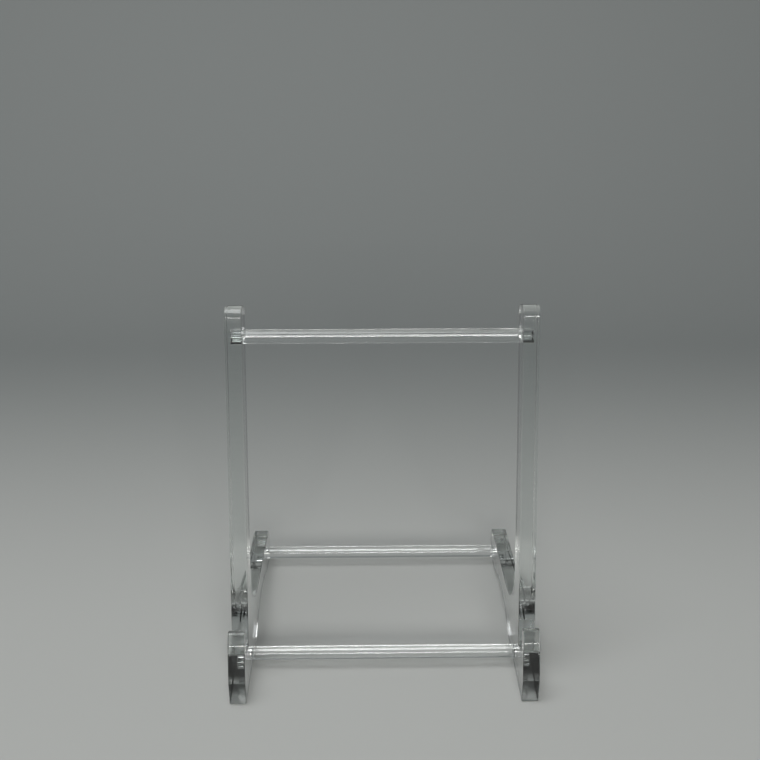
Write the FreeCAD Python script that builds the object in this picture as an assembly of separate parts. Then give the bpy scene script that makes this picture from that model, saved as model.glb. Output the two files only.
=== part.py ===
import FreeCAD, Part
import math
import os

os.makedirs("parts", exist_ok=True)

# Plate display stand in clear acrylic: two profiled legs joined by three plain round cross rods.
# Millimetres. +X is to the right, +Y goes back from the viewer, +Z is up.
# The origin is on the table, midway between the legs and midway along the legs' footprint.

# Overall
LEG_SPACING = 104.0         # between the middles of the two legs
SHEET = 6.0                 # thickness of the acrylic sheet the legs are cut from
FOOTPRINT = 98.0            # length of a leg on the table, front to back
LEAN = 15.0                 # lean of the lip, the notch and the upright, in degrees from vertical

# Front foot and lip
TOE_HEIGHT = 9.2            # height of the plumb part of the front face
FACE_LENGTH = 13.7          # leaning part of the front face, up to the lip's bevel
LIP_LENGTH = 18.1           # the same, up to the top of the lip
LIP_BEVEL = 1.6             # how far the bevel sets the top of the lip back
LIP_THICKNESS = 4.6
SEAT_UP = 9.0               # distance of the plate seat up the lean from the toe
NOTCH_WIDTH = 7.5

# Upright
UPRIGHT_WIDTH = 11.0
UPRIGHT_LENGTH = 132.0      # up the lean from the toe
RAIL_HEIGHT = 18.0          # height of the rail just behind the upright
HEEL_HEIGHT = 13.0

# Underside
FRONT_PAD = 37.0            # length of the flat front part of the underside
HEEL_PAD = 14.0             # length of the flat rear part
ARCH_SLOPE = 22.6           # slope of the arch where it leaves the pads, in degrees
ARCH_RADIUS = 50.0          # of the roof of the arch

# Corner radii of the profile, and the small rounding of the cut edges
CORNER_SMALL = 0.8
CORNER_TOE = 1.0            # between the plumb and the leaning parts of the front face
CORNER_BEVEL = 2.0          # at the foot of the lip's bevel
CORNER_LIP = 1.3
CORNER_SEAT = 1.2
CORNER_TOP = 4.0
CORNER_HEEL = 4.0
CORNER_CROOK = 16.0         # between the back of the upright and the rail
CORNER_ARCH = 4.0           # where the arch runs into the pads
EDGE_ROUND = 0.35

# Cross rods and their blind sockets
ROD_DIAMETER = 5.0
ROD_CHAMFER = 0.3
SOCKET_DEPTH = 4.2
SOCKET_GAP = 0.03           # radial, and also left at each end of a rod
FRONT_ROD_BACK = 21.5       # behind the front of the foot
FRONT_ROD_UP = 5.6
HEEL_ROD_BACK = 89.5
HEEL_ROD_UP = 5.6
TOP_ROD_UP = 121.0          # up the lean from the toe, on the middle of the upright


def leaning(up, back):
    """A profile point from distances up the lean and square to it, measured from the top of the toe."""
    lean = math.radians(LEAN)
    y = up * math.sin(lean) + back * math.cos(lean)
    z = TOE_HEIGHT + up * math.cos(lean) - back * math.sin(lean)
    return FreeCAD.Vector(0, y, z)


def level(back, up):
    """A profile point from its distance behind the front of the foot and its height."""
    return FreeCAD.Vector(0, back, up)


def upright_front():
    """How far the front edge of the upright stands back from the front face, square to the lean."""
    return LIP_THICKNESS + NOTCH_WIDTH


def crook():
    """Where the back of the upright would meet the top of the rail."""
    back = upright_front() + UPRIGHT_WIDTH
    lean = math.radians(LEAN)
    up = (RAIL_HEIGHT - TOE_HEIGHT + back * math.sin(lean)) / math.cos(lean)
    return leaning(up, back)


def rounded_profile(corners):
    """A closed wire through the corner points, each rounded by its own radius."""
    edges = []
    ends = []
    count = len(corners)
    for i in range(count):
        here, radius = corners[i]
        before = corners[i - 1][0]
        after = corners[(i + 1) % count][0]
        to_before = (before - here).normalize()
        to_after = (after - here).normalize()
        half = to_before.getAngle(to_after) / 2
        setback = radius / math.tan(half)
        start = here + to_before * setback
        end = here + to_after * setback
        inward = (to_before + to_after).normalize()
        middle = here + inward * (radius / math.sin(half) - radius)
        edges.append(Part.Arc(start, middle, end).toShape())
        ends.append((start, end))
    for i in range(count):
        line_start = ends[i][1]
        line_end = ends[(i + 1) % count][0]
        edges.append(Part.makeLine(line_start, line_end))
    return Part.Wire(Part.__sortEdges__(edges))


def leg_corners():
    """The corners of a leg's side profile, each with its radius, going round from the front of the foot."""
    gap = upright_front()
    back = gap + UPRIGHT_WIDTH
    arch_start = FRONT_PAD
    arch_end = FOOTPRINT - HEEL_PAD
    arch_middle = (arch_start + arch_end) / 2
    arch_peak = (arch_middle - arch_start) * math.tan(math.radians(ARCH_SLOPE))
    return [
        (level(0, 0), CORNER_SMALL),
        (level(0, TOE_HEIGHT), CORNER_TOE),
        (leaning(FACE_LENGTH, 0), CORNER_BEVEL),
        (leaning(LIP_LENGTH, LIP_BEVEL), CORNER_LIP),
        (leaning(LIP_LENGTH, LIP_THICKNESS), CORNER_SMALL),
        (leaning(SEAT_UP, LIP_THICKNESS), CORNER_SEAT),
        (leaning(SEAT_UP, gap), CORNER_SEAT),
        (leaning(UPRIGHT_LENGTH, gap), CORNER_TOP),
        (leaning(UPRIGHT_LENGTH, back), CORNER_TOP),
        (crook(), CORNER_CROOK),
        (level(FOOTPRINT, HEEL_HEIGHT), CORNER_HEEL),
        (level(FOOTPRINT, 0), CORNER_SMALL),
        (level(arch_end, 0), CORNER_ARCH),
        (level(arch_middle, arch_peak), ARCH_RADIUS),
        (level(arch_start, 0), CORNER_ARCH),
    ]


def rod_places():
    """The axis of each cross rod in the leg's profile, by rod name."""
    middle = upright_front() + UPRIGHT_WIDTH / 2
    return {
        "front_cross_rod": level(FRONT_ROD_BACK, FRONT_ROD_UP),
        "heel_cross_rod": level(HEEL_ROD_BACK, HEEL_ROD_UP),
        "upper_cross_rod": leaning(TOP_ROD_UP, middle),
    }


def make_blank():
    """A leg without sockets, with its middle plane at x = 0 and its cut edges rounded."""
    face = Part.Face(rounded_profile(leg_corners()))
    slab = face.extrude(FreeCAD.Vector(SHEET, 0, 0))
    slab.translate(FreeCAD.Vector(-SHEET / 2, 0, 0))
    rim = []
    for edge in slab.Edges:
        on_side = abs(abs(edge.CenterOfMass.x) - SHEET / 2) < 0.001
        if on_side:
            rim.append(edge)
    return slab.makeFillet(EDGE_ROUND, rim)


def make_leg(side):
    """The leg on one side: -1 is the left one and 1 the right one. The sockets open on its inner face."""
    leg = make_blank()
    inner = -side * SHEET / 2
    radius = ROD_DIAMETER / 2 + SOCKET_GAP
    for place in rod_places().values():
        mouth = FreeCAD.Vector(inner, place.y, place.z)
        socket = Part.makeCylinder(radius, SOCKET_DEPTH, mouth, FreeCAD.Vector(side, 0, 0))
        leg = leg.cut(socket)
    leg.translate(FreeCAD.Vector(side * LEG_SPACING / 2, -FOOTPRINT / 2, 0))
    return leg


def make_rod(place):
    """A cross rod with chamfered ends, reaching almost to the bottom of both sockets."""
    clear_span = LEG_SPACING - SHEET
    length = clear_span + 2 * (SOCKET_DEPTH - SOCKET_GAP)
    start = FreeCAD.Vector(-length / 2, place.y - FOOTPRINT / 2, place.z)
    rod = Part.makeCylinder(ROD_DIAMETER / 2, length, start, FreeCAD.Vector(1, 0, 0))
    ends = []
    for edge in rod.Edges:
        if abs(abs(edge.CenterOfMass.x) - length / 2) < 0.001:
            ends.append(edge)
    return rod.makeChamfer(ROD_CHAMFER, ends)


nodes = {
    "left_leg": make_leg(-1),
    "right_leg": make_leg(1),
}
for name, place in rod_places().items():
    nodes[name] = make_rod(place)

for name, shape in nodes.items():
    shape.exportStep("parts/" + name + ".step")
    box = shape.BoundBox
    print(name, "valid", shape.isValid(), "solids", len(shape.Solids), "volume", round(shape.Volume, 1))
    print("  x", round(box.XMin, 2), round(box.XMax, 2), "y", round(box.YMin, 2), round(box.YMax, 2))
    print("  z", round(box.ZMin, 2), round(box.ZMax, 2))
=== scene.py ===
import bpy
import math
from mathutils import Matrix, Vector


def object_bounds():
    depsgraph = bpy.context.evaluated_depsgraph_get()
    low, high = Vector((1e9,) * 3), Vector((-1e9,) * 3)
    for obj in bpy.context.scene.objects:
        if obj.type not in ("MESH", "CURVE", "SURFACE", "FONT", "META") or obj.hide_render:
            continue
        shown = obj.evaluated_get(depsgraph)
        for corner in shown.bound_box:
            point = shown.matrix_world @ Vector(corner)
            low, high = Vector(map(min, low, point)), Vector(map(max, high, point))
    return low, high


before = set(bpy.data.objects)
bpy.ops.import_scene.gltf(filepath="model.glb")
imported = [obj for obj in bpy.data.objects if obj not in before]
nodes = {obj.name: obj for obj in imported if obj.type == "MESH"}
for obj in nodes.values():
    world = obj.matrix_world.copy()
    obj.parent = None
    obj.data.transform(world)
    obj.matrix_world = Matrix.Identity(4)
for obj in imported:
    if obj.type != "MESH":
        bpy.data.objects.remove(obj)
cad_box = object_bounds()
cad_box = [list(map(float, corner)) for corner in cad_box]

# Places on the legs, in metres: the lip notch and the sole, which have a satin finish
LEAN = math.radians(15.0)       # of the lip and the notch, from vertical
FOOT_FRONT = 0.049              # the front of the feet is this far forward of the origin
TOE_HEIGHT = 0.0092             # where the leaning part of the front face starts
NOTCH_UP = (0.0088, 0.0180)     # range of the notch up the lean from there
NOTCH_BACK = (0.0044, 0.0123)   # the same, square to the lean
SOLE_HEIGHT = 0.0003            # the sole is the level face below this height
CUT_LIMIT = 0.5                 # a face whose normal has a smaller X part is a cut edge
LEVEL_LIMIT = 0.9               # a face whose normal has a larger Z part is level

# Clear acrylic
ACRYLIC_IOR = 1.49
ROUGH_SMUDGE = 0.07             # at the middle of a smudge; roughness is 0 where it is clean
ROUGH_CUT = 0.03                # these three are added to it
ROUGH_NOTCH = 0.22
ROUGH_SOLE = 0.10


# ---------------------------------------------------------------- materials
def new_material(name):
    """A material with an empty node tree and its output."""
    mat = bpy.data.materials.new(name)
    mat.use_nodes = True
    tree = mat.node_tree
    tree.nodes.clear()
    out = tree.nodes.new("ShaderNodeOutputMaterial")
    return mat, tree, out


def node(tree, kind, **values):
    """A node with its inputs set by name and its properties by attribute."""
    n = tree.nodes.new(kind)
    for key, value in values.items():
        if key in n.inputs:
            n.inputs[key].default_value = value
        else:
            setattr(n, key, value)
    return n


def math_node(tree, operation, a, b=0.0):
    """The output of a maths node; each operand is a number or a socket."""
    n = tree.nodes.new("ShaderNodeMath")
    n.operation = operation
    for i, v in enumerate((a, b)):
        if isinstance(v, (int, float)):
            n.inputs[i].default_value = v
        else:
            tree.links.new(v, n.inputs[i])
    return n.outputs[0]


def split(tree, vector):
    """The X, Y and Z outputs of a vector socket."""
    n = tree.nodes.new("ShaderNodeSeparateXYZ")
    tree.links.new(vector, n.inputs[0])
    return n.outputs["X"], n.outputs["Y"], n.outputs["Z"]


def map_range(tree, value, source, target=(0.0, 1.0), **values):
    """A clamped map from one range to another."""
    n = node(tree, "ShaderNodeMapRange", clamp=True, **values)
    n.inputs["From Min"].default_value, n.inputs["From Max"].default_value = source
    n.inputs["To Min"].default_value, n.inputs["To Max"].default_value = target
    tree.links.new(value, n.inputs["Value"])
    return n.outputs[0]


def mix_colour(tree, factor, a, b):
    """A blend of two colours by a factor socket."""
    n = node(tree, "ShaderNodeMix", data_type="RGBA")
    n.inputs["A"].default_value = a
    n.inputs["B"].default_value = b
    tree.links.new(factor, n.inputs["Factor"])
    return n.outputs["Result"]


def stretched_noise(tree, where, scale, rotation=(0, 0, 0), **values):
    """Noise drawn out by different scales along the axes, in cycles per metre."""
    mapping = node(tree, "ShaderNodeMapping")
    mapping.inputs["Rotation"].default_value = rotation
    mapping.inputs["Scale"].default_value = scale
    tree.links.new(where, mapping.inputs["Vector"])
    noise = node(tree, "ShaderNodeTexNoise", Scale=1.0, **values)
    tree.links.new(mapping.outputs[0], noise.inputs["Vector"])
    return noise.outputs["Fac"]


def notch_mask(tree, where):
    """1 in the box of space round the lip notch, in the legs' leaning frame, and 0 elsewhere."""
    _, y, z = split(tree, where)
    y = math_node(tree, "ADD", y, FOOT_FRONT)
    z = math_node(tree, "SUBTRACT", z, TOE_HEIGHT)
    up = math_node(tree, "ADD",
                   math_node(tree, "MULTIPLY", y, math.sin(LEAN)),
                   math_node(tree, "MULTIPLY", z, math.cos(LEAN)))
    back = math_node(tree, "SUBTRACT",
                     math_node(tree, "MULTIPLY", y, math.cos(LEAN)),
                     math_node(tree, "MULTIPLY", z, math.sin(LEAN)))
    mask = 1.0
    for value, (low, high) in ((up, NOTCH_UP), (back, NOTCH_BACK)):
        for test, limit in (("GREATER_THAN", low), ("LESS_THAN", high)):
            mask = math_node(tree, "MULTIPLY", math_node(tree, test, value, limit), mask)
    return mask


def sole_mask(tree, where, normal_z):
    """1 on the level undersides that stand on the table, and 0 elsewhere."""
    z = split(tree, where)[2]
    level = math_node(tree, "GREATER_THAN", math_node(tree, "ABSOLUTE", normal_z), LEVEL_LIMIT)
    return math_node(tree, "MULTIPLY", level, math_node(tree, "LESS_THAN", z, SOLE_HEIGHT))


def acrylic(name, tint, edge_tint, line_scale, line_bump, wipe_scale, wipe_bump, satin):
    """Clear acrylic with faint smudges, wiping scratches and fine lines along the cut edges.

    The scales are in cycles per metre along X, Y and Z. With satin, the lip notch and the soles
    are less polished than the rest.
    """
    mat, tree, out = new_material(name)
    link = tree.links.new
    bsdf = node(tree, "ShaderNodeBsdfPrincipled")
    bsdf.inputs["IOR"].default_value = ACRYLIC_IOR
    bsdf.inputs["Transmission Weight"].default_value = 1.0
    coords = tree.nodes.new("ShaderNodeTexCoord")
    where = coords.outputs["Object"]
    normal_x, _, normal_z = split(tree, coords.outputs["Normal"])
    cut = math_node(tree, "LESS_THAN", math_node(tree, "ABSOLUTE", normal_x), CUT_LIMIT)

    # fine lines on the cut edges, through the thickness of the sheet or along a rod
    lines = stretched_noise(tree, where, line_scale, Detail=2.0, Roughness=0.5)
    cut_lines = math_node(tree, "MULTIPLY", cut, lines)

    # faint scratches left by wiping, in one slanting direction
    scratches = stretched_noise(tree, where, wipe_scale, rotation=(0.6, 0.2, 0.9),
                                Detail=4.0, Roughness=0.6)

    # roughness: nearly none, a little more in smudges and along the cut edges
    smudge = node(tree, "ShaderNodeTexNoise", Scale=55.0, Detail=3.0, Roughness=0.55)
    link(where, smudge.inputs["Vector"])
    rough = map_range(tree, smudge.outputs["Fac"], (0.45, 0.75), (0.0, ROUGH_SMUDGE))
    rough = math_node(tree, "ADD", rough, math_node(tree, "MULTIPLY", cut, ROUGH_CUT))
    if satin:
        notch = math_node(tree, "MULTIPLY", cut, notch_mask(tree, where))
        rough = math_node(tree, "ADD", rough, math_node(tree, "MULTIPLY", notch, ROUGH_NOTCH))
        sole = sole_mask(tree, where, normal_z)
        rough = math_node(tree, "ADD", rough, math_node(tree, "MULTIPLY", sole, ROUGH_SOLE))
    link(rough, bsdf.inputs["Roughness"])

    # colour: clear with a breath of grey-green, stronger along the cut edges
    link(mix_colour(tree, cut_lines, tint, edge_tint), bsdf.inputs["Base Color"])

    bump_lines = node(tree, "ShaderNodeBump", Strength=line_bump, Distance=0.00004)
    link(cut_lines, bump_lines.inputs["Height"])
    bump_wipe = node(tree, "ShaderNodeBump", Strength=wipe_bump, Distance=0.00002)
    link(scratches, bump_wipe.inputs["Height"])
    link(bump_lines.outputs[0], bump_wipe.inputs["Normal"])
    link(bump_wipe.outputs[0], bsdf.inputs["Normal"])
    link(bsdf.outputs[0], out.inputs["Surface"])
    return mat


leg_mat = acrylic("leg_acrylic", tint=(0.965, 0.975, 0.97, 1), edge_tint=(0.86, 0.9, 0.88, 1),
                  line_scale=(18, 1100, 1100), line_bump=0.05,
                  wipe_scale=(60, 900, 50), wipe_bump=0.03, satin=True)
rod_mat = acrylic("rod_acrylic", tint=(0.97, 0.98, 0.98, 1), edge_tint=(0.93, 0.95, 0.95, 1),
                  line_scale=(6, 350, 350), line_bump=0.01,
                  wipe_scale=(30, 200, 30), wipe_bump=0.015, satin=False)

for name, piece in nodes.items():
    for slot in piece.material_slots:
        slot.material = rod_mat if name.endswith("rod") else leg_mat


# ---------------------------------------------------------------- stage
def sweep():
    """A seamless sweep: floor, a wide bend and a wall behind, in one smooth sheet."""
    front, bend_start, bend_radius, top = -5.0, 0.30, 0.35, 1.4
    half_width = 5.0
    steps = 24
    gap = 0.00005               # the sweep lies this far below the table plane of the frame
    profile = [(front, 0.0), (bend_start, 0.0)]
    for i in range(1, steps + 1):
        a = math.radians(90 * i / steps)
        profile.append((bend_start + bend_radius * math.sin(a), bend_radius * (1 - math.cos(a))))
    profile.append((bend_start + bend_radius, top))
    verts = []
    for y, z in profile:
        verts.append((-half_width, y, z))
        verts.append((half_width, y, z))
    faces = [(2 * i, 2 * i + 1, 2 * i + 3, 2 * i + 2) for i in range(len(profile) - 1)]
    mesh = bpy.data.meshes.new("sweep")
    mesh.from_pydata(verts, [], faces)
    for p in mesh.polygons:
        p.use_smooth = True
    obj = bpy.data.objects.new("sweep", mesh)
    bpy.context.collection.objects.link(obj)
    obj.location.z = -gap

    # painted shade: the paper is pale in front and painted greyer behind the stand and up the
    # wall, where less light falls
    mat, tree, out = new_material("sweep_paper")
    bsdf = node(tree, "ShaderNodeBsdfPrincipled", Roughness=0.75)
    coords = tree.nodes.new("ShaderNodeTexCoord")
    _, y, _ = split(tree, coords.outputs["Object"])
    painted_shade_falloff = map_range(tree, y, (-0.02, 0.32), interpolation_type="SMOOTHSTEP")
    shade = mix_colour(tree, painted_shade_falloff, (0.53, 0.54, 0.52, 1), (0.26, 0.275, 0.27, 1))
    tree.links.new(shade, bsdf.inputs["Base Color"])
    tree.links.new(bsdf.outputs[0], out.inputs["Surface"])
    mesh.materials.append(mat)
    return obj


def area_light(name, place, target, size, power, colour):
    """A soft rectangular light at a place, turned to a target. Its power is in watts."""
    data = bpy.data.lights.new(name, "AREA")
    data.shape = "RECTANGLE"
    data.size, data.size_y = size
    data.energy = power
    data.color = colour
    obj = bpy.data.objects.new(name, data)
    bpy.context.collection.objects.link(obj)
    obj.location = place
    aim = Vector(target) - Vector(place)
    obj.rotation_euler = aim.to_track_quat("-Z", "Y").to_euler()
    return obj


floor = sweep()
lights = [
    area_light("window", (0.02, -1.30, 0.51), (0, 0, 0.06), (0.64, 0.24), 9.0, (1.0, 0.99, 0.97)),
    area_light("overhead", (-0.20, -0.15, 1.30), (0, 0, 0), (0.8, 0.6), 7.5, (0.98, 0.99, 1.0)),
]
world = bpy.data.worlds.new("room")
world.use_nodes = True
background = world.node_tree.nodes["Background"]
background.inputs["Color"].default_value = (0.16, 0.165, 0.17, 1)
background.inputs["Strength"].default_value = 0.8
bpy.context.scene.world = world


# ---------------------------------------------------------------- camera
def set_camera():
    """The viewpoint: a little above the stand and slightly left of its middle."""
    data = bpy.data.cameras.new("camera")
    data.sensor_width = 36.0
    data.lens = 47.56
    data.clip_start = 0.01
    obj = bpy.data.objects.new("camera", data)
    bpy.context.collection.objects.link(obj)
    place = (-0.00565, -0.3328, 0.2464)
    pitch = math.radians(23.11)
    yaw = math.radians(-0.83)
    turn = Matrix.Rotation(yaw, 4, "Z") @ Matrix.Rotation(math.radians(90) - pitch, 4, "X")
    obj.matrix_world = Matrix.Translation(place) @ turn
    bpy.context.scene.camera = obj


set_camera()
bpy.context.scene.view_settings.view_transform = "Standard"
